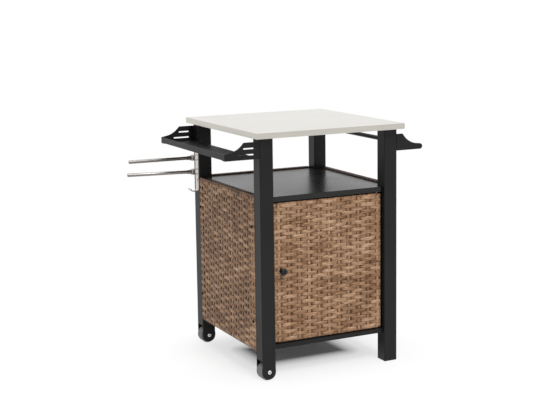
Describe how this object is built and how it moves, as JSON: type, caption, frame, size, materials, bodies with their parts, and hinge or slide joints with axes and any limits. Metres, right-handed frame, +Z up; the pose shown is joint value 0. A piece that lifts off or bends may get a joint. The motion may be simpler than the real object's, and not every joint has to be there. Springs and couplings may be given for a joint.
{
  "type": "grill cart",
  "caption": "Grill cart with a stainless worktop, open shelf, woven cabinet with hinged door, side tray with hook slots, towel handle, swivel arms, and wheels at one side.",
  "frame": {"origin": "on the floor under the centre of the cart's bounding box", "axes": "+X towards the towel handle, along the cart's longest extent from the arm tips to the handle; -Y is the door side; +Z up"},
  "size_m": [0.8962, 0.61, 0.85],
  "materials": {
    "powder_coat": "fine-textured satin black powder coat on steel",
    "stainless": "brushed stainless steel",
    "bright_steel": "zinc-plated steel",
    "black_fastener": "black-coated screw",
    "weave": "tan woven resin strand",
    "board": "dark painted fibreboard",
    "wheel_grey": "matt mid-grey rubber",
    "hub_plastic": "dark grey moulded plastic",
    "black_plastic": "black moulded plastic",
    "nylon": "off-white nylon"
  },
  "bodies": {
    "cart": {"axle_bolt_back": "bright_steel", "axle_bolt_front": "bright_steel", "axle_nuts": "bright_steel", "back_panel_frame": "powder_coat", "back_panel_weave": "weave", "back_rail": "powder_coat", "cabinet_floor": "powder_coat", "foot_cap_back": "black_plastic", "foot_cap_front": "black_plastic", "front_rail": "powder_coat", "handle_bar": "powder_coat", "handle_bolts": "black_fastener", "handle_bracket_back": "powder_coat", "handle_bracket_front": "powder_coat", "hanger_plate": "stainless", "hanger_screws": "bright_steel", "hinge_bracket": "powder_coat", "hinge_bushes": "nylon", "leg_back_left": "powder_coat", "leg_back_right": "powder_coat", "leg_front_left": "powder_coat", "leg_front_right": "powder_coat", "leg_top_plates": "powder_coat", "magnet_catch": "powder_coat", "panel_bolts": "black_fastener", "panel_tabs": "powder_coat", "pivot_pins": "bright_steel", "shelf_plate": "powder_coat", "shelf_screws": "bright_steel", "side_panel_left_frame": "powder_coat", "side_panel_left_weave": "weave", "side_panel_right_frame": "powder_coat", "side_panel_right_weave": "weave", "side_tray": "powder_coat", "tray_bolts": "black_fastener", "tray_bracket_back": "powder_coat", "tray_bracket_front": "powder_coat", "wheel_spacers": "nylon", "worktop_core": "board", "worktop_screws": "bright_steel", "worktop_skin": "stainless"},
    "wheel_front": {"wheel_front_tyre": "wheel_grey", "wheel_front_hub": "hub_plastic"},
    "wheel_back": {"wheel_back_tyre": "wheel_grey", "wheel_back_hub": "hub_plastic"},
    "door": {"door_frame": "powder_coat", "door_weave": "weave", "door_knob": "black_plastic", "knob_screw": "bright_steel", "door_strike_plate": "bright_steel", "hinge_pins": "bright_steel"},
    "upper_arm": {"upper_arm_rod": "stainless", "upper_arm_collar": "stainless", "upper_arm_cap": "stainless"},
    "lower_arm": {"lower_arm_rod": "stainless", "lower_arm_collar": "stainless", "lower_arm_cap": "stainless"}
  },
  "joints": [
    {"name": "wheel_front_roll", "type": "hinge", "parent": "cart", "child": "wheel_front", "pos_m": [-0.16182, -0.258, 0.03], "axis": [0, 1, 0], "continuous": true},
    {"name": "wheel_back_roll", "type": "hinge", "parent": "cart", "child": "wheel_back", "pos_m": [-0.16182, 0.258, 0.03], "axis": [0, 1, 0], "continuous": true},
    {"name": "door_hinge", "type": "hinge", "parent": "cart", "child": "door", "pos_m": [0.27718, -0.254, 0.3645], "axis": [0, 0, 1], "range_deg": [0, 90]},
    {"name": "upper_arm_swing", "type": "hinge", "parent": "cart", "child": "upper_arm", "pos_m": [-0.20532, 0.252, 0.7045], "axis": [0, 0, 1], "range_deg": [-87, 93]},
    {"name": "lower_arm_swing", "type": "hinge", "parent": "cart", "child": "lower_arm", "pos_m": [-0.20532, 0.252, 0.6525], "axis": [0, 0, 1], "range_deg": [-80, 100]}
  ]
}
